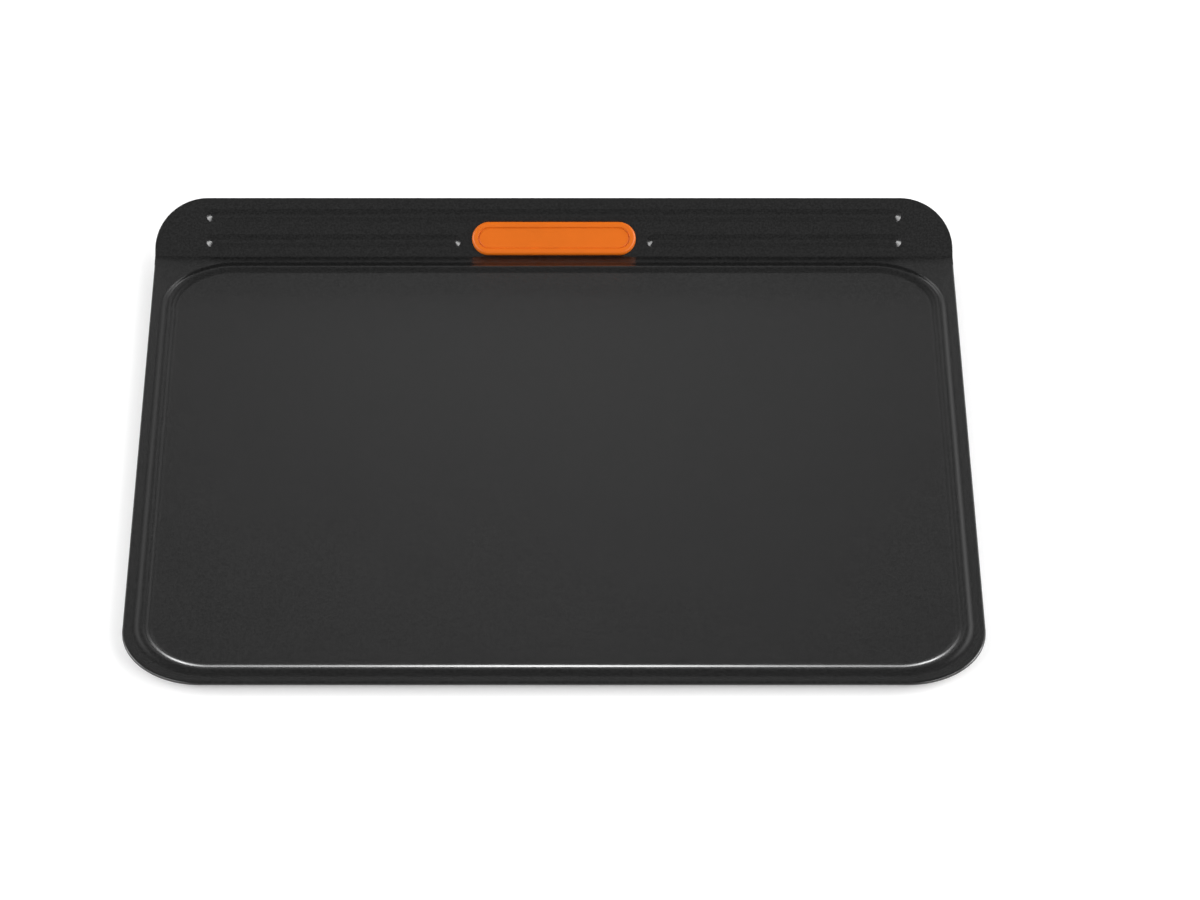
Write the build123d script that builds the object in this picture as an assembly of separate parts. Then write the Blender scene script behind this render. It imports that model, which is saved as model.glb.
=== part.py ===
from build123d import *
import os
from math import asin, atan2, cos, degrees, hypot, radians, sin, tan

# Double-walled cookie sheet. Lengths are in millimetres and angles in degrees.
# +X runs to the right, +Y to the rear lip and +Z up. The origin is at the middle of the
# footprint, on the plane that the sheet stands on.

# Upper sheet: outline and gauge
sheet_width = 380.0
sheet_depth = 308.4  # front rim to the crease of the rear lip
sheet_thickness = 0.6
rim_corner_radius = 36.0

# Stiffening bead pressed up round the baking field, placed by the line of its crest
bead_width = 6.7
bead_height = 0.68
bead_crest_radius = 7.4
bead_rim_offset = 8.6
bead_crease_offset = 8.7
bead_corner_radius = 27.4

# Rear lip: lengths up the slope start at the crease
lip_slope = 40.0
lip_length = 28.8
lip_corner_radius = 25.0
lip_bend_radius = 1.5

# Ribs pressed up in the lip, with domed ends
rib_width = 6.4
rib_height = 1.1
rib_crest_radius = 3.0
upper_rib_rise = 20.1
lower_rib_rise = 7.7
rib_side_margin = 24.3  # side edge of the lip to the tips of the ribs
rib_grip_gap = 5.3  # end of the grip to the tips of the lower ribs

# Folded rim that holds the base sheet on three sides
fold_return = 5.0
fold_stop = 6.0  # crease to the end of the folded rim
seam_clearance = 0.05
seam_edge_play = 0.3  # base sheet's cut edge to the inside of the fold

# Base sheet: a shallow pan with a flange
base_thickness = 0.5
air_gap = 4.4
base_wall_inset = 7.5  # outline of the upper sheet to the top of the pan's wall
base_wall_slope = 55.0
base_floor_radius = 2.5
base_flange_radius = 1.5
base_seam_margin = 1.0  # bend of the lip to the flange's rear edge
base_rear_corner_radius = 6.0

# Silicone grip snapped into the lip's slot
grip_length = 78.0
grip_height = 16.2
grip_rise = 8.7
grip_front_proud = 2.2
grip_back_proud = 2.0
grip_edge_radius = 1.5
grip_back_chamfer = 0.9
grip_overlap = 2.1  # cover of the sheet round the slot
grip_clearance = 0.1
panel_margin = 2.9
panel_depth = 0.4

# Angles
quarter_turn = 90.0
half_turn = 180.0

# Levels
base_flange_top = base_thickness + air_gap
sheet_under = base_flange_top + seam_clearance
sheet_top = sheet_under + sheet_thickness

# Plan of the upper sheet
lip_bend_tangent = lip_bend_radius * tan(radians(lip_slope / 2))
lip_run = lip_length * cos(radians(lip_slope)) + sheet_thickness * sin(radians(lip_slope))
front_y = -(sheet_depth + lip_run) / 2
crease_y = front_y + sheet_depth
bend_y = crease_y - lip_bend_tangent
fold_radius = sheet_thickness + seam_clearance + base_thickness / 2
side_x = sheet_width / 2
lip_plane = Plane(
    origin=(0, crease_y, sheet_top),
    x_dir=(1, 0, 0),
    z_dir=(0, -sin(radians(lip_slope)), cos(radians(lip_slope))),
)


def rounded_block(x, front, rear, radius, bottom, top):
    """Block over a rounded rectangle between -x and x."""
    outline = Pos(0, (front + rear) / 2) * RectangleRounded(2 * x, rear - front, radius)
    return Pos(0, 0, bottom) * extrude(outline, top - bottom)


def front_rounded_block(x, front, rear, radius, bottom, top):
    """Block over a rectangle whose two front corners are rounded."""
    outline = Pos(0, (front + rear) / 2) * Rectangle(2 * x, rear - front)
    outline = fillet(outline.vertices().group_by(Axis.Y)[0], radius)
    return Pos(0, 0, bottom) * extrude(outline, top - bottom)


def carry_round(section, path):
    """Sweep a section along a counter-clockwise path, with the section's +X side outwards."""
    along = path % 0
    outwards = along.cross(Vector(0, 0, 1))
    start = Plane(origin=path @ 0, x_dir=outwards, z_dir=-along)
    return sweep(start * section, path=path)


def arched_section(width, height, crest_radius):
    """Pressed-up arch of the sheet's gauge, with straight flanks and the flat sheet's top at zero."""
    half = width / 2
    centre = height - crest_radius
    slope = asin(crest_radius / hypot(half, centre)) + atan2(centre, half)
    turn = degrees(slope)
    under_half = half - sheet_thickness * tan(slope / 2)
    edges = []
    for depth, foot in ((0, half), (sheet_thickness, under_half)):
        crest = CenterArc((0, centre), crest_radius - depth, quarter_turn - turn, 2 * turn)
        edges += [crest, Line((foot, -depth), crest @ 0), Line((-foot, -depth), crest @ 1)]
    for side in (-1, 1):
        edges.append(Line((side * half, 0), (side * half, -sheet_thickness)))
        edges.append(Line((side * half, -sheet_thickness), (side * under_half, -sheet_thickness)))
    return make_face(edges)


def fold_section():
    """Half-round fold and its return under the base sheet's flange, with the sheet's top at zero."""
    inside = fold_radius - sheet_thickness
    low = -2 * fold_radius
    return make_face(
        [
            Line((0, 0), (0, -sheet_thickness)),
            CenterArc((0, -fold_radius), fold_radius, -quarter_turn, half_turn),
            CenterArc((0, -fold_radius), inside, -quarter_turn, half_turn),
            Line((0, low), (-fold_return, low)),
            Line((-fold_return, low), (-fold_return, low + sheet_thickness)),
            Line((-fold_return, low + sheet_thickness), (0, low + sheet_thickness)),
        ]
    )


def bend_section():
    """Bend between the flat sheet and the lip, with the flat sheet's top end at zero."""
    start = -quarter_turn
    centre = (0, lip_bend_radius)
    outer = lip_bend_radius + sheet_thickness
    inner_arc = CenterArc(centre, lip_bend_radius, start, lip_slope)
    outer_arc = CenterArc(centre, outer, start, lip_slope)
    return make_face(
        [
            inner_arc,
            outer_arc,
            Line(inner_arc @ 0, outer_arc @ 0),
            Line(inner_arc @ 1, outer_arc @ 1),
        ]
    )


def rib(length):
    """Pressed rib along X with domed ends, with the lip's top at zero."""
    section = arched_section(rib_width, rib_height, rib_crest_radius)
    reach = length / 2 - rib_width / 2
    across = Plane(origin=(-reach, 0, 0), x_dir=(0, 1, 0), z_dir=(1, 0, 0))
    shape = extrude(across * section, 2 * reach)
    half = section & (Pos(rib_width / 2, 0) * Rectangle(rib_width, 4 * rib_height))
    for side in (-1, 1):
        upright = Plane(origin=(0, 0, 0), x_dir=(0, side, 0), z_dir=(side, 0, 0))
        dome = revolve(upright * half, Axis.Z, half_turn)
        shape += Pos(-side * reach, 0, 0) * dome
    return shape


def rib_places():
    """Middle across, rise up the slope and length of each rib."""
    outer_tip = side_x - rib_side_margin
    inner_tip = grip_length / 2 + rib_grip_gap
    short = outer_tip - inner_tip
    middle = (outer_tip + inner_tip) / 2
    return [
        (0, upper_rib_rise, 2 * outer_tip),
        (-middle, lower_rib_rise, short),
        (middle, lower_rib_rise, short),
    ]


def lip():
    """Sloped lip with its rounded corners, the grip's slot and the pressed ribs."""
    height = lip_length - lip_bend_tangent
    outline = Pos(0, lip_bend_tangent + height / 2) * Rectangle(sheet_width, height)
    outline = fillet(outline.vertices().group_by(Axis.Y)[-1], lip_corner_radius)
    slot = SlotOverall(grip_length - 2 * grip_overlap, grip_height - 2 * grip_overlap)
    outline -= Pos(0, grip_rise) * slot
    for x, rise, length in rib_places():
        outline -= Pos(x, rise) * SlotOverall(length, rib_width)
    blank = extrude(outline, -sheet_thickness)
    for x, rise, length in rib_places():
        blank += Pos(x, rise, 0) * rib(length)
    return lip_plane * blank


def baking_sheet():
    """Upper sheet: field, bead, border, folded rim, bend and lip in one gauge."""
    bead_x = side_x - bead_rim_offset
    bead_front = front_y + bead_rim_offset
    bead_rear = crease_y - bead_crease_offset
    half = bead_width / 2
    field = rounded_block(
        bead_x - half, bead_front + half, bead_rear - half, bead_corner_radius - half, sheet_under, sheet_top
    )
    opening = rounded_block(
        bead_x + half, bead_front - half, bead_rear + half, bead_corner_radius + half, sheet_under, sheet_top
    )
    border = front_rounded_block(
        side_x - fold_radius,
        front_y + fold_radius,
        bend_y,
        rim_corner_radius - fold_radius,
        sheet_under,
        sheet_top,
    )
    shoulder = Pos(0, bend_y - (fold_stop - lip_bend_tangent) / 2, sheet_top - sheet_thickness / 2) * Box(
        sheet_width, fold_stop - lip_bend_tangent, sheet_thickness
    )
    bead_path = Pos(0, (bead_front + bead_rear) / 2, sheet_top) * RectangleRounded(
        2 * bead_x, bead_rear - bead_front, bead_corner_radius
    )
    bead = carry_round(arched_section(bead_width, bead_height, bead_crest_radius), bead_path.wire())
    fold_x = side_x - fold_radius
    fold_front = front_y + fold_radius
    fold_rear = crease_y - fold_stop
    fold_path = FilletPolyline(
        (-fold_x, fold_rear, sheet_top),
        (-fold_x, fold_front, sheet_top),
        (fold_x, fold_front, sheet_top),
        (fold_x, fold_rear, sheet_top),
        radius=rim_corner_radius - fold_radius,
    )
    fold = carry_round(fold_section(), fold_path.wire())
    bend = Plane(origin=(-side_x, bend_y, sheet_top), x_dir=(0, 1, 0), z_dir=(1, 0, 0)) * bend_section()
    bend = extrude(bend, sheet_width)
    return (border + shoulder - opening) + bead + field + fold + bend + lip()


def base_wall_section():
    """Wall of the pan from the flange down to the floor, with the flange's top at zero."""
    turn = base_wall_slope
    slope = radians(turn)
    drop = base_flange_top - base_thickness
    flange_centre = Vector(0, -base_thickness - base_flange_radius)
    outer = base_flange_radius + base_thickness
    shoulder = flange_centre + Vector(-sin(slope), cos(slope)) * outer
    inner_shoulder = flange_centre + Vector(-sin(slope), cos(slope)) * base_flange_radius
    floor_level = -drop - base_thickness
    straight_drop = (
        drop
        - outer * (1 - cos(slope))
        - (base_floor_radius - base_thickness) * (1 - cos(slope))
    )
    run = straight_drop / tan(slope)
    toe = shoulder + Vector(-run, -straight_drop)
    floor_centre = toe + Vector(-sin(slope), cos(slope)) * (base_floor_radius - base_thickness)
    outer_toe = floor_centre + Vector(sin(slope), -cos(slope)) * base_floor_radius
    arcs = [
        CenterArc(flange_centre, outer, quarter_turn, turn),
        CenterArc(flange_centre, base_flange_radius, quarter_turn, turn),
        CenterArc(floor_centre, base_floor_radius - base_thickness, -quarter_turn, turn),
        CenterArc(floor_centre, base_floor_radius, -quarter_turn, turn),
    ]
    lines = [
        Line((0, 0), (0, -base_thickness)),
        Line(shoulder, toe),
        Line(inner_shoulder, outer_toe),
        Line((floor_centre.X, floor_level + base_thickness), (floor_centre.X, floor_level)),
    ]
    return make_face(arcs + lines), -floor_centre.X


def base_sheet():
    """Lower sheet: flange, sloped wall and flat floor in one gauge."""
    wall_x = side_x - base_wall_inset
    wall_front = front_y + base_wall_inset
    wall_rear = crease_y - base_wall_inset
    wall_radius = rim_corner_radius - base_wall_inset
    edge_inset = fold_radius + seam_edge_play
    flange_rear = bend_y - base_seam_margin
    flange = front_rounded_block(
        side_x - edge_inset,
        front_y + edge_inset,
        flange_rear,
        rim_corner_radius - edge_inset,
        base_flange_top - base_thickness,
        base_flange_top,
    )
    flange = fillet(flange.edges().filter_by(Axis.Z).group_by(Axis.Y)[-1], base_rear_corner_radius)
    flange -= rounded_block(
        wall_x, wall_front, wall_rear, wall_radius, base_flange_top - base_thickness, base_flange_top
    )
    section, reach = base_wall_section()
    path = Pos(0, (wall_front + wall_rear) / 2, base_flange_top) * RectangleRounded(
        2 * wall_x, wall_rear - wall_front, wall_radius
    )
    wall = carry_round(section, path.wire())
    floor = rounded_block(
        wall_x - reach, wall_front + reach, wall_rear - reach, wall_radius - reach, 0, base_thickness
    )
    return flange + wall + floor


def grip_pad(proud):
    """Square-edged pad of the grip, standing on zero, and the edges round its face."""
    pad = extrude(SlotOverall(grip_length, grip_height), proud)
    return pad, pad.edges().group_by(Axis.Z)[-1]


def silicone_grip():
    """One moulding: front pad with a recessed panel, waist in the slot and back pad."""
    front, front_edges = grip_pad(grip_front_proud)
    front = fillet(front_edges, grip_edge_radius)
    panel = SlotOverall(grip_length - 2 * panel_margin, grip_height - 2 * panel_margin)
    front -= Pos(0, 0, grip_front_proud - panel_depth) * extrude(panel, panel_depth)
    back, back_edges = grip_pad(grip_back_proud)
    back = chamfer(back_edges, grip_back_chamfer)
    waist_inset = grip_overlap + grip_clearance
    waist = SlotOverall(grip_length - 2 * waist_inset, grip_height - 2 * waist_inset)
    groove = sheet_thickness + 2 * seam_clearance
    waist = Pos(0, 0, -groove) * extrude(waist, groove)
    back = Pos(0, 0, -groove) * (Rot(half_turn, 0, 0) * back)
    grip = front + waist + back
    return lip_plane * (Pos(0, grip_rise, seam_clearance) * grip)


os.makedirs("parts", exist_ok=True)
export_step(baking_sheet(), "parts/baking_sheet.step")
export_step(base_sheet(), "parts/base_sheet.step")
export_step(silicone_grip(), "parts/silicone_grip.step")
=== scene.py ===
from math import asin, atan2, cos, hypot, pi, radians, sin, tan

import bmesh
import bpy
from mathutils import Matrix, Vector
from mathutils.geometry import delaunay_2d_cdt


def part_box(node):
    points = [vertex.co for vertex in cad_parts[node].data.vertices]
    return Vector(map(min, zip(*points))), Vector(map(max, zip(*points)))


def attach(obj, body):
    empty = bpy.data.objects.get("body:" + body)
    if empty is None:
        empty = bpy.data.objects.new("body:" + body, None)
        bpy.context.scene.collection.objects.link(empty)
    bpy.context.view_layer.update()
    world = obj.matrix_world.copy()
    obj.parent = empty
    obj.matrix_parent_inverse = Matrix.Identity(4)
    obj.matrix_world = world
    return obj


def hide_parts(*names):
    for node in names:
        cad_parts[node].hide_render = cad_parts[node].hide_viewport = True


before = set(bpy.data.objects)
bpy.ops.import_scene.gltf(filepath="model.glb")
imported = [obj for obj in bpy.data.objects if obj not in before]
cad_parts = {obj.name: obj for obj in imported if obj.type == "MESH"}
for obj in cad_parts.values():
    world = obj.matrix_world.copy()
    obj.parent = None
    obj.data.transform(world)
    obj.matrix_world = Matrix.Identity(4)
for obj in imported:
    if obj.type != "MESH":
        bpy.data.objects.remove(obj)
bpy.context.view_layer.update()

mm = 0.001

# Places taken from the frame, in metres
sheet_low, sheet_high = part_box("baking_sheet")
base_low, base_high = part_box("base_sheet")
side_x = sheet_high.x
front_y = sheet_low.y
rear_y = sheet_high.y

# Upper sheet
sheet_thickness = 0.6 * mm
seam_clearance = 0.05 * mm
rim_corner_radius = 36 * mm
fold_radius = 0.9 * mm
fold_return = 5 * mm
fold_stop = 6 * mm
sheet_top = base_high.z + seam_clearance + sheet_thickness

# Bead round the baking field
bead_width = 9 * mm
bead_height = 0.68 * mm
bead_rim_offset = 8.6 * mm
bead_crease_offset = 8.7 * mm
bead_corner_radius = 30.5 * mm

# Rear lip
lip_slope = radians(40)
lip_length = 28.8 * mm
lip_corner_radius = 25 * mm
lip_bend_radius = 1.5 * mm
lip_bend_tangent = lip_bend_radius * tan(lip_slope / 2)
crease_y = rear_y - lip_length * cos(lip_slope) - sheet_thickness * sin(lip_slope)
bend_y = crease_y - lip_bend_tangent

# Ribs in the lip
rib_width = 6.4 * mm
rib_height = 1.1 * mm
rib_crest_radius = 3 * mm
rib_foot_radius = 0.6 * mm
upper_rib_rise = 20.1 * mm
lower_rib_rise = 7.7 * mm
rib_side_margin = 24.3 * mm
rib_grip_gap = 5.3 * mm

# Grip
grip_length = 78 * mm
grip_height = 16.2 * mm
grip_rise = 8.7 * mm
grip_front_proud = 2.2 * mm
grip_back_proud = 2 * mm
grip_edge_radius = 1.5 * mm
grip_back_radius = 0.8 * mm
grip_overlap = 2.1 * mm
grip_clearance = 0.1 * mm
grip_small_radius = 0.15 * mm
panel_margin = 2.9 * mm
panel_depth = 0.4 * mm
panel_edge_radius = 0.22 * mm
panel_groove_radius = 0.25 * mm

# Base sheet
base_thickness = 0.5 * mm
base_wall_inset = 7.5 * mm
base_wall_slope = radians(55)
base_floor_radius = 2.5 * mm
base_flange_radius = 1.5 * mm
base_rear_corner_radius = 6 * mm

# Mesh detail
support = 0.35 * mm
cut_edge_round = 0.12 * mm
corner_steps = 48
stadium_steps = 24
ridge_steps = 8
foot_steps = 5
weld = 0.001 * mm

# Coating: linear greys, roughness and grain
coating_ior = 1.6
coating_dark = (0.0025, 0.0025, 0.0025, 1)
coating_light = (0.0115, 0.0115, 0.0115, 1)
coating_ramp = (0.38, 0.62)
coating_roughness = (0.21, 0.23)
coating_grain_scale = 1200
coating_grain_detail = 3
coating_cloud_scale = 30
coating_cloud_detail = 4
coating_bump = 0.12
coating_bump_height = 0.05 * mm

# Silicone
silicone_ior = 1.42
silicone_roughness = 0.42
silicone_deep = (0.66, 0.131, 0.002, 1)
silicone_bright = (0.72, 0.143, 0.003, 1)
silicone_cloud_scale = 60
silicone_cloud_detail = 5
silicone_grain_scale = 4000
silicone_bump = 0.1
silicone_bump_height = 0.03 * mm
cloud_ramp = (0.3, 0.7)

# Floor
floor_half = 6
floor_gap = 0.02 * mm
floor_albedo = (0.88, 0.88, 0.88, 1)
floor_lift = 0.22

# Surroundings: azimuth and elevation, outer and inner angle in degrees, radiance
surround_level = 0.105
surround_lobes = (
    (0, 35, 7, 1, 0.42),
    (0, 36, 30, 13, 0.07),
    (0, 90, 45, 8, 0.09),
    (180, 38, 50, 12, 0.14),
    (-13, 22, 7, 2, 1.4),
    (13, 22, 7, 2, 1.4),
    (-50, 30, 30, 8, 0.75),
    (50, 30, 30, 8, 1.3),
)

# Softboxes: name, azimuth and elevation in degrees, distance, width and height in metres, radiance
softboxes = (
    ("back", 0, 11, 3.0, 1.6, 0.9, 3.0),
    ("back_middle", 0, 11, 2.9, 0.28, 0.9, 9),
    ("left", -128, 30, 2.5, 2.0, 0.5, 10.5),
    ("right", 128, 30, 2.5, 2.0, 0.5, 10.5),
    ("side_left", -80, 22, 2.5, 1.6, 0.8, 7.5),
    ("side_right", 80, 22, 2.5, 1.6, 0.8, 11.5),
)

# Camera, found from the photograph's vanishing point and the sheet's place in it
image_width = 1200
focal_pixels = 5800
sheet_centre_pixel = 553.9
sensor_width = 36
camera_pitch = radians(38.857)
camera_place = (0, -2.0668, 1.6676)
camera_far = 50


def arc(centre, radius, start, turn, steps):
    """Points along an arc in a profile's plane."""
    angles = [start + turn * i / steps for i in range(steps + 1)]
    return [(centre[0] + radius * cos(a), centre[1] + radius * sin(a)) for a in angles]


def rounded_path(x, front, rear, radius, steps):
    """Closed path round a rectangle with rounded corners, as points with outward normals."""
    middle = (front + rear) / 2
    half = (rear - front) / 2
    path = []
    for corner, (sx, sy) in enumerate(((1, 1), (-1, 1), (-1, -1), (1, -1))):
        centre = Vector((sx * (x - radius), middle + sy * (half - radius)))
        for i in range(steps + 1):
            angle = pi / 2 * (corner + i / steps)
            normal = Vector((cos(angle), sin(angle)))
            path.append((centre + normal * radius, normal))
    return path


def rim_path(x, front, rear, radius, steps):
    """Open path down the left side, round the front and up the right side."""
    path = [(Vector((-x, rear)), Vector((-1, 0)))]
    for start, sx in ((pi, -1), (3 * pi / 2, 1)):
        centre = Vector((sx * (x - radius), front + radius))
        for i in range(steps + 1):
            angle = start + pi / 2 * i / steps
            normal = Vector((cos(angle), sin(angle)))
            path.append((centre + normal * radius, normal))
    path.append((Vector((x, rear)), Vector((1, 0))))
    return path


def offset(path, distance):
    return [point + normal * distance for point, normal in path]


def flat_place(point, height):
    return Vector((point.x, point.y, sheet_top + height))


def lip_place(point, height):
    """Point at x and a rise up the lip, and a height off its top face."""
    along = point.y * cos(lip_slope) - height * sin(lip_slope)
    up = point.y * sin(lip_slope) + height * cos(lip_slope)
    return Vector((point.x, crease_y + along, sheet_top + up))


def base_place(point, height):
    return Vector((point.x, point.y, base_high.z + height))


class Skin:
    """One open or closed face of a piece, collected from strips and flat fills."""

    def __init__(self):
        self.mesh = bmesh.new()

    def add_face(self, corners):
        self.mesh.faces.new([self.mesh.verts.new(c) for c in corners])

    def strip(self, path, profile, place, closed):
        rings = [[place(p, height) for p in offset(path, d)] for d, height in profile]
        count = len(path)
        for inner, outer in zip(rings, rings[1:]):
            verts = [[self.mesh.verts.new(c) for c in ring] for ring in (inner, outer)]
            for i in range(count if closed else count - 1):
                j = (i + 1) % count
                self.mesh.faces.new((verts[0][i], verts[0][j], verts[1][j], verts[1][i]))

    def fill(self, outline, holes, place, height):
        """Flat face inside an outline and outside its holes."""
        points = []
        edges = []
        for loop in [outline, *holes]:
            first = len(points)
            points.extend(loop)
            edges.extend((first + i, first + (i + 1) % len(loop)) for i in range(len(loop)))
        result = delaunay_2d_cdt([Vector(p) / mm for p in points], edges, [], 1, 1e-6)
        corners = [Vector(p) * mm for p in result[0]]
        verts = [self.mesh.verts.new(place(p, height)) for p in corners]
        for triangle in result[2]:
            middle = sum((corners[i] for i in triangle), Vector((0, 0))) / 3
            if inside(middle, outline) and not any(inside(middle, hole) for hole in holes):
                self.mesh.faces.new([verts[i] for i in triangle])

    def finish(self, name, thickness, material, up=True):
        """Weld the parts, give the skin its gauge and make the object."""
        mesh = self.mesh
        bmesh.ops.remove_doubles(mesh, verts=mesh.verts, dist=weld)
        loose = [v for v in mesh.verts if not v.link_faces]
        bmesh.ops.delete(mesh, geom=loose, context="VERTS")
        bmesh.ops.dissolve_degenerate(mesh, edges=mesh.edges, dist=weld)
        bmesh.ops.recalc_face_normals(mesh, faces=mesh.faces)
        if thickness:
            biggest = max(mesh.faces, key=lambda f: f.calc_area())
            if biggest.normal.z < 0:
                bmesh.ops.reverse_faces(mesh, faces=mesh.faces)
        data = bpy.data.meshes.new(name)
        mesh.to_mesh(data)
        mesh.free()
        piece = bpy.data.objects.new(name, data)
        bpy.context.scene.collection.objects.link(piece)
        if thickness:
            gauge = piece.modifiers.new("gauge", "SOLIDIFY")
            gauge.thickness = thickness
            gauge.offset = -1
            gauge.use_even_offset = True
            edge = piece.modifiers.new("cut_edge", "BEVEL")
            edge.width = cut_edge_round
            edge.segments = 2
            edge.limit_method = "ANGLE"
            edge.angle_limit = radians(60)
        for polygon in data.polygons:
            polygon.use_smooth = True
        normals = piece.modifiers.new("face_normals", "WEIGHTED_NORMAL")
        normals.weight = 100
        apply_modifiers(piece)
        piece.data.materials.append(material)
        return piece


def inside(point, loop):
    """True where the point lies inside the loop."""
    crossings = 0
    for a, b in zip(loop, [*loop[1:], loop[0]]):
        if (a.y > point.y) != (b.y > point.y):
            x = a.x + (point.y - a.y) * (b.x - a.x) / (b.y - a.y)
            if x > point.x:
                crossings += 1
    return crossings % 2 == 1


def apply_modifiers(piece):
    graph = bpy.context.evaluated_depsgraph_get()
    data = bpy.data.meshes.new_from_object(piece.evaluated_get(graph))
    old = piece.data
    piece.modifiers.clear()
    piece.data = data
    bpy.data.meshes.remove(old)
    data.name = piece.name


def press_profile(half, height, crest_radius, foot_radius):
    """Profile across a pressed ridge from its crest line to its foot: offsets and heights."""
    centre = height - crest_radius
    slope = asin(crest_radius / hypot(half, centre)) + atan2(centre, half)
    foot_reach = foot_radius * tan(slope / 2)
    crest = arc((0, centre), crest_radius, pi / 2, -slope, ridge_steps)
    foot = arc((half + foot_reach, foot_radius), foot_radius, -pi / 2 - slope, slope, foot_steps)
    return crest + foot + [(half + foot_reach + support, 0)]


def bead_profile(half, height):
    """Profile of a pressed ridge of two equal arcs from its crest line to its foot."""
    slope = 2 * atan2(height, half)
    radius = half / (2 * sin(slope))
    crest = arc((0, height - radius), radius, pi / 2, -slope, ridge_steps)
    foot = arc((half, radius), radius, -pi / 2 - slope, slope, ridge_steps)
    return crest + foot[1:] + [(half + support, 0)]


def both_sides(profile):
    return [(-d, height) for d, height in reversed(profile)] + profile[1:]


def rib_places():
    """Middle across, rise up the lip and length of each rib."""
    outer_tip = side_x - rib_side_margin
    inner_tip = grip_length / 2 + rib_grip_gap
    middle = (outer_tip + inner_tip) / 2
    short = outer_tip - inner_tip
    return [
        (0, upper_rib_rise, 2 * outer_tip),
        (-middle, lower_rib_rise, short),
        (middle, lower_rib_rise, short),
    ]


def stadium_path(x, rise, length, height):
    """Closed path round a stadium on the lip."""
    path = rounded_path(length / 2, rise - height / 2, rise + height / 2, height / 2, stadium_steps)
    return [(point + Vector((x, 0)), normal) for point, normal in path]


def make_baking_sheet(material):
    skin = Skin()
    bead_x = side_x - bead_rim_offset
    bead_front = front_y + bead_rim_offset
    bead_rear = crease_y - bead_crease_offset
    bead_path = rounded_path(bead_x, bead_front, bead_rear, bead_corner_radius, corner_steps)
    profile = bead_profile(bead_width / 2, bead_height)
    skin.strip(bead_path, both_sides(profile), flat_place, True)
    reach = profile[-1][0]
    skin.fill(offset(bead_path, -reach), [], flat_place, 0)

    fold_x = side_x - fold_radius
    fold_front = front_y + fold_radius
    fold_rear = crease_y - fold_stop
    fold_path = rim_path(fold_x, fold_front, fold_rear, rim_corner_radius - fold_radius, corner_steps)
    fold = [(-support, 0)]
    fold += arc((0, -fold_radius), fold_radius, pi / 2, -pi, 12)
    fold += [(-support, -2 * fold_radius), (-fold_return, -2 * fold_radius)]
    skin.strip(fold_path, fold, flat_place, False)

    border = offset(fold_path, -support)
    border[0] = Vector((-fold_x + support, fold_rear))
    edge = [
        Vector((fold_x, fold_rear)),
        Vector((side_x, fold_rear)),
        Vector((side_x, bend_y - support)),
        Vector((side_x - support, bend_y - support)),
        Vector((support - side_x, bend_y - support)),
        Vector((-side_x, bend_y - support)),
        Vector((-side_x, fold_rear)),
        Vector((-fold_x, fold_rear)),
    ]
    skin.fill(border + edge, [offset(bead_path, reach)], flat_place, 0)

    bend = [(bend_y - support, 0)]
    bend += arc((bend_y, lip_bend_radius), lip_bend_radius, -pi / 2, lip_slope, 8)
    bend.append((bend[-1][0] + support * cos(lip_slope), bend[-1][1] + support * sin(lip_slope)))
    across = [-side_x, support - side_x, side_x - support, side_x]
    for (y0, z0), (y1, z1) in zip(bend, bend[1:]):
        for x0, x1 in zip(across, across[1:]):
            skin.add_face(
                [
                    Vector((x, y, sheet_top + z))
                    for x, y, z in ((x0, y0, z0), (x1, y0, z0), (x1, y1, z1), (x0, y1, z1))
                ]
            )
    outline = [Vector((x, lip_bend_tangent + support)) for x in across]
    for start, sx in ((0, 1), (pi / 2, -1)):
        centre = Vector((sx * (side_x - lip_corner_radius), lip_length - lip_corner_radius))
        for i in range(corner_steps + 1):
            angle = start + pi / 2 * i / corner_steps
            outline.append(centre + lip_corner_radius * Vector((cos(angle), sin(angle))))
    holes = []
    for x, rise, length in rib_places():
        path = stadium_path(x, rise, length, rib_width)
        section = press_profile(rib_width / 2, rib_height, rib_crest_radius, rib_foot_radius)
        section = [(d - rib_width / 2, height) for d, height in section]
        skin.strip(path, section, lip_place, True)
        holes.append(offset(path, section[-1][0]))
    slot = stadium_path(0, grip_rise, grip_length, grip_height)
    slot_edge = offset(slot, -grip_overlap)
    slot_ring = [(-grip_overlap, 0), (-grip_overlap + support, 0)]
    skin.strip(slot, slot_ring, lip_place, True)
    holes.append(offset(slot, -grip_overlap + support))
    skin.fill(outline, holes, lip_place, 0)
    return skin.finish("baking_sheet_steel", sheet_thickness, material)


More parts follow.
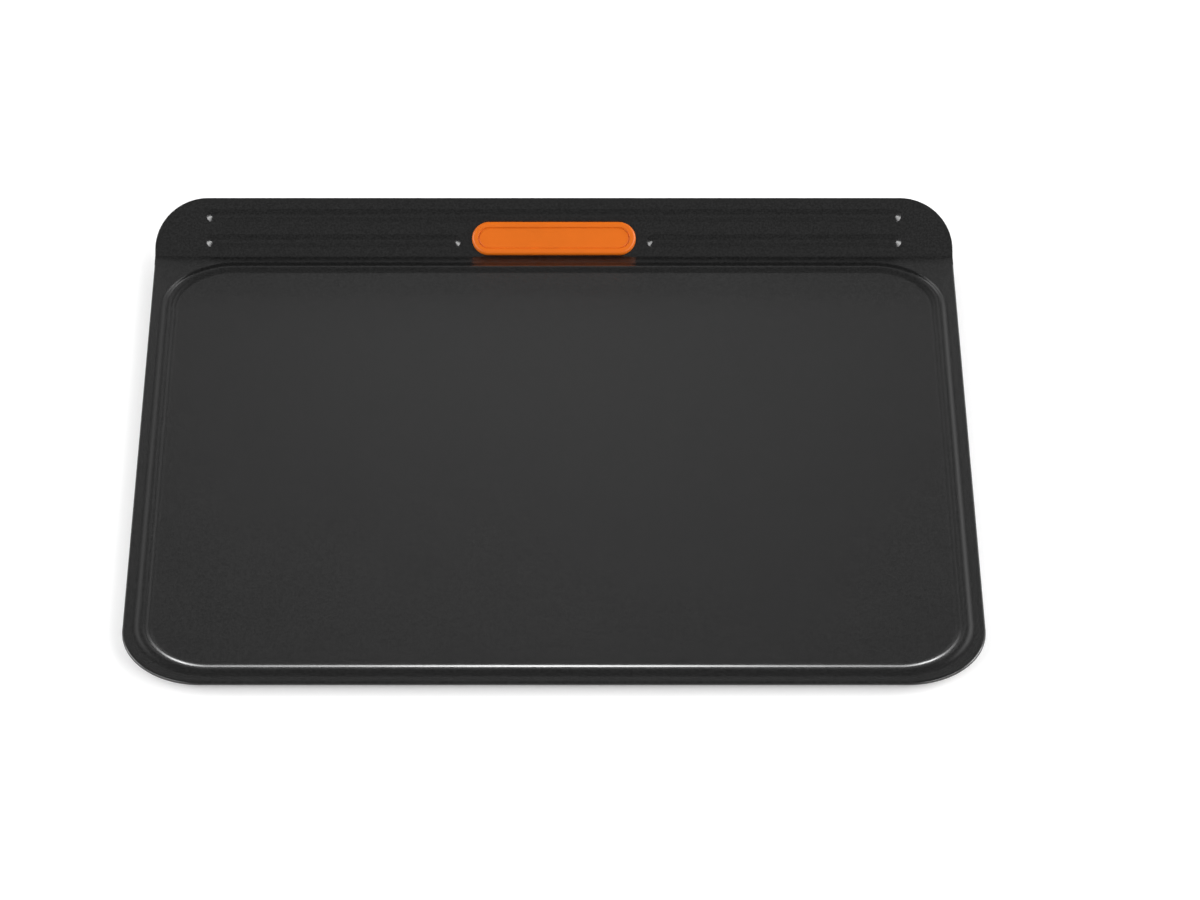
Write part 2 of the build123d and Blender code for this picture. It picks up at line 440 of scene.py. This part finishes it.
def make_base_sheet(material):
    skin = Skin()
    wall_x = side_x - base_wall_inset
    wall_front = front_y + base_wall_inset
    wall_rear = crease_y - base_wall_inset
    wall_radius = rim_corner_radius - base_wall_inset
    path = rounded_path(wall_x, wall_front, wall_rear, wall_radius, corner_steps)
    outer = base_flange_radius + base_thickness
    inner = base_floor_radius - base_thickness
    drop = base_high.z - base_thickness
    turn = base_wall_slope
    straight = drop - (outer + inner) * (1 - cos(turn))
    shoulder = (-outer * sin(turn), -outer + outer * cos(turn))
    toe = (shoulder[0] - straight / tan(turn), shoulder[1] - straight)
    floor_centre = (toe[0] - inner * sin(turn), toe[1] + inner * cos(turn))
    profile = [(support, 0)]
    profile += arc((0, -outer), outer, pi / 2, turn, 8)
    profile += arc(floor_centre, inner, -pi / 2 + turn, -turn, 8)
    profile += [(floor_centre[0] - support, -drop)]
    skin.strip(path, profile, base_place, True)
    skin.fill(offset(path, profile[-1][0]), [], base_place, -drop)
    edge_x = base_high.x
    outline = []
    corners = (
        (1, base_high.y, base_rear_corner_radius, 0),
        (-1, base_high.y, base_rear_corner_radius, pi / 2),
        (-1, base_low.y, rim_corner_radius - side_x + edge_x, pi),
        (1, base_low.y, rim_corner_radius - side_x + edge_x, 3 * pi / 2),
    )
    for sx, y, radius, start in corners:
        sy = 1 if y > 0 else -1
        centre = Vector((sx * (edge_x - radius), y - sy * radius))
        for i in range(corner_steps + 1):
            angle = start + pi / 2 * i / corner_steps
            outline.append(centre + radius * Vector((cos(angle), sin(angle))))
    skin.fill(outline, [offset(path, support)], base_place, 0)
    return skin.finish("base_sheet_steel", base_thickness, material)


def make_grip(material):
    skin = Skin()
    path = stadium_path(0, grip_rise, grip_length, grip_height)
    top = seam_clearance + grip_front_proud
    floor = top - panel_depth
    groove_top = seam_clearance
    groove_low = -sheet_thickness - seam_clearance
    back = groove_low - grip_back_proud
    waist = -grip_overlap - grip_clearance
    small = grip_small_radius
    edge = panel_edge_radius
    groove = panel_groove_radius
    profile = [(-panel_margin - 2 * groove - support, floor)]
    profile += arc((-panel_margin - groove, floor), groove, pi, pi, 8)
    profile += arc((-panel_margin + edge, top - edge), edge, pi, -pi / 2, 6)
    profile += arc((-grip_edge_radius, top - grip_edge_radius), grip_edge_radius, pi / 2, -pi / 2, 12)
    profile += arc((-small, groove_top + small), small, 0, -pi / 2, 4)
    profile += [(waist, groove_top), (waist, groove_low)]
    profile += arc((-small, groove_low - small), small, pi / 2, -pi / 2, 4)
    profile += arc((-grip_back_radius, back + grip_back_radius), grip_back_radius, 0, -pi / 2, 8)
    profile += [(-grip_back_radius - support, back)]
    skin.strip(path, profile, lip_place, True)
    skin.fill(offset(path, profile[0][0]), [], lip_place, floor)
    skin.fill(offset(path, profile[-1][0]), [], lip_place, back)
    return skin.finish("grip_silicone", 0, material)


def node_material(name):
    material = bpy.data.materials.new(name)
    material.use_nodes = True
    tree = material.node_tree
    return material, tree, tree.nodes["Principled BSDF"]


def noise(tree, scale, detail=None):
    """Noise over the piece's own coordinates."""
    place = tree.nodes.new("ShaderNodeTexCoord")
    texture = tree.nodes.new("ShaderNodeTexNoise")
    texture.inputs["Scale"].default_value = scale
    if detail is not None:
        texture.inputs["Detail"].default_value = detail
    tree.links.new(place.outputs["Object"], texture.inputs["Vector"])
    return texture.outputs["Fac"]


def add_tint(tree, shader, factor, span, low, high):
    """Base colour that goes from one colour to another with the noise."""
    tint = tree.nodes.new("ShaderNodeValToRGB")
    for element, position, colour in zip(tint.color_ramp.elements, span, (low, high)):
        element.position = position
        element.color = colour
    tree.links.new(factor, tint.inputs["Fac"])
    tree.links.new(tint.outputs["Color"], shader.inputs["Base Color"])


def add_bump(tree, shader, height, strength, distance):
    bump = tree.nodes.new("ShaderNodeBump")
    bump.inputs["Strength"].default_value = strength
    bump.inputs["Distance"].default_value = distance
    tree.links.new(height, bump.inputs["Height"])
    tree.links.new(bump.outputs["Normal"], shader.inputs["Normal"])


def coating_material():
    """Dark satin non-stick coating with its fine grain."""
    material, tree, shader = node_material("satin_coating")
    shader.inputs["IOR"].default_value = coating_ior
    grain = noise(tree, coating_grain_scale, coating_grain_detail)
    cloud = noise(tree, coating_cloud_scale, coating_cloud_detail)
    add_tint(tree, shader, grain, coating_ramp, coating_dark, coating_light)
    rough = tree.nodes.new("ShaderNodeMapRange")
    rough.inputs["From Min"].default_value, rough.inputs["From Max"].default_value = cloud_ramp
    rough.inputs["To Min"].default_value, rough.inputs["To Max"].default_value = coating_roughness
    tree.links.new(cloud, rough.inputs["Value"])
    tree.links.new(rough.outputs["Result"], shader.inputs["Roughness"])
    add_bump(tree, shader, grain, coating_bump, coating_bump_height)
    return material


def silicone_material():
    """Orange silicone with a silk-matt surface."""
    material, tree, shader = node_material("orange_silicone")
    shader.inputs["Roughness"].default_value = silicone_roughness
    shader.inputs["IOR"].default_value = silicone_ior
    cloud = noise(tree, silicone_cloud_scale, silicone_cloud_detail)
    add_tint(tree, shader, cloud, cloud_ramp, silicone_deep, silicone_bright)
    add_bump(tree, shader, noise(tree, silicone_grain_scale), silicone_bump, silicone_bump_height)
    return material


def floor_material():
    """Pale floor, white outside the shadow and clear from below."""
    material, tree, shader = node_material("pale_floor")
    nodes, links = tree.nodes, tree.links
    shader.inputs["Base Color"].default_value = floor_albedo
    shader.inputs["Roughness"].default_value = 1
    shader.inputs["Specular IOR Level"].default_value = 0
    shader.inputs["Emission Color"].default_value = (1, 1, 1, 1)
    path = nodes.new("ShaderNodeLightPath")
    seen = nodes.new("ShaderNodeMath")
    seen.operation = "MAXIMUM"
    links.new(path.outputs["Is Camera Ray"], seen.inputs[0])
    links.new(path.outputs["Is Glossy Ray"], seen.inputs[1])
    lift = nodes.new("ShaderNodeMath")
    lift.operation = "MULTIPLY"
    lift.inputs[1].default_value = floor_lift
    links.new(seen.outputs[0], lift.inputs[0])
    links.new(lift.outputs[0], shader.inputs["Emission Strength"])
    side = nodes.new("ShaderNodeNewGeometry")
    clear = nodes.new("ShaderNodeBsdfTransparent")
    mix = nodes.new("ShaderNodeMixShader")
    links.new(side.outputs["Backfacing"], mix.inputs["Fac"])
    links.new(shader.outputs["BSDF"], mix.inputs[1])
    links.new(clear.outputs["BSDF"], mix.inputs[2])
    links.new(mix.outputs["Shader"], nodes["Material Output"].inputs["Surface"])
    return material


def make_floor():
    corners = [(-1, -1), (1, -1), (1, 1), (-1, 1)]
    points = [(floor_half * x, floor_half * y, -floor_gap) for x, y in corners]
    data = bpy.data.meshes.new("floor")
    data.from_pydata(points, [], [(0, 1, 2, 3)])
    floor = bpy.data.objects.new("floor", data)
    bpy.context.scene.collection.objects.link(floor)
    data.materials.append(floor_material())


def direction(azimuth, elevation):
    """Unit vector with azimuth in degrees from +Y towards +X, and elevation in degrees."""
    a, e = radians(azimuth), radians(elevation)
    return Vector((cos(e) * sin(a), cos(e) * cos(a), sin(e)))


def softbox(name, azimuth, elevation, distance, width, height, radiance):
    """Area lamp that faces the sheet."""
    lamp = bpy.data.lights.new(name, "AREA")
    lamp.shape = "RECTANGLE"
    lamp.size = width
    lamp.size_y = height
    lamp.energy = radiance * pi * width * height
    holder = bpy.data.objects.new(name, lamp)
    bpy.context.scene.collection.objects.link(holder)
    towards = direction(azimuth, elevation)
    holder.location = towards * distance
    holder.rotation_euler = towards.to_track_quat("Z", "Y").to_euler()


def make_world():
    """Soft surroundings: dim overhead and in front, lighter low down and at the back."""
    world = bpy.data.worlds.new("soft_surroundings")
    bpy.context.scene.world = world
    world.use_nodes = True
    nodes, links = world.node_tree.nodes, world.node_tree.links
    background = nodes["Background"]
    place = nodes.new("ShaderNodeTexCoord")

    def lobe(towards, outer, inner, radiance):
        """Soft round light in the surroundings."""
        dot = nodes.new("ShaderNodeVectorMath")
        dot.operation = "DOT_PRODUCT"
        dot.inputs[1].default_value = towards
        links.new(place.outputs["Generated"], dot.inputs[0])
        ramp = nodes.new("ShaderNodeMapRange")
        ramp.interpolation_type = "SMOOTHSTEP"
        ramp.inputs["From Min"].default_value = cos(radians(outer))
        ramp.inputs["From Max"].default_value = cos(radians(inner))
        ramp.inputs["To Min"].default_value = 0
        ramp.inputs["To Max"].default_value = radiance
        links.new(dot.outputs["Value"], ramp.inputs["Value"])
        return ramp.outputs["Result"]

    total = nodes.new("ShaderNodeMath")
    total.inputs[0].default_value = surround_level
    total.inputs[1].default_value = 0
    for azimuth, elevation, outer, inner, radiance in surround_lobes:
        more = nodes.new("ShaderNodeMath")
        links.new(total.outputs[0], more.inputs[0])
        links.new(lobe(direction(azimuth, elevation), outer, inner, radiance), more.inputs[1])
        total = more
    links.new(total.outputs[0], background.inputs["Strength"])
    background.inputs["Color"].default_value = (1, 1, 1, 1)


def make_camera():
    """Camera at the photograph's viewing angle."""
    data = bpy.data.cameras.new("camera")
    camera = bpy.data.objects.new("camera", data)
    bpy.context.scene.collection.objects.link(camera)
    data.sensor_width = sensor_width
    data.lens = focal_pixels / image_width * sensor_width
    data.shift_x = (image_width / 2 - sheet_centre_pixel) / image_width
    data.clip_end = camera_far
    camera.location = camera_place
    camera.rotation_euler = (pi / 2 - camera_pitch, 0, 0)
    bpy.context.scene.camera = camera


steel = coating_material()
silicone = silicone_material()
for piece, node, slot in (
    (make_baking_sheet(steel), "baking_sheet", "coated_steel"),
    (make_base_sheet(steel), "base_sheet", "coated_steel"),
    (make_grip(silicone), "silicone_grip", "silicone"),
):
    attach(piece, "root")
    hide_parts(node)

make_floor()
make_world()
for box in softboxes:
    softbox(*box)
make_camera()

view = bpy.context.scene.view_settings
view.view_transform = "Standard"
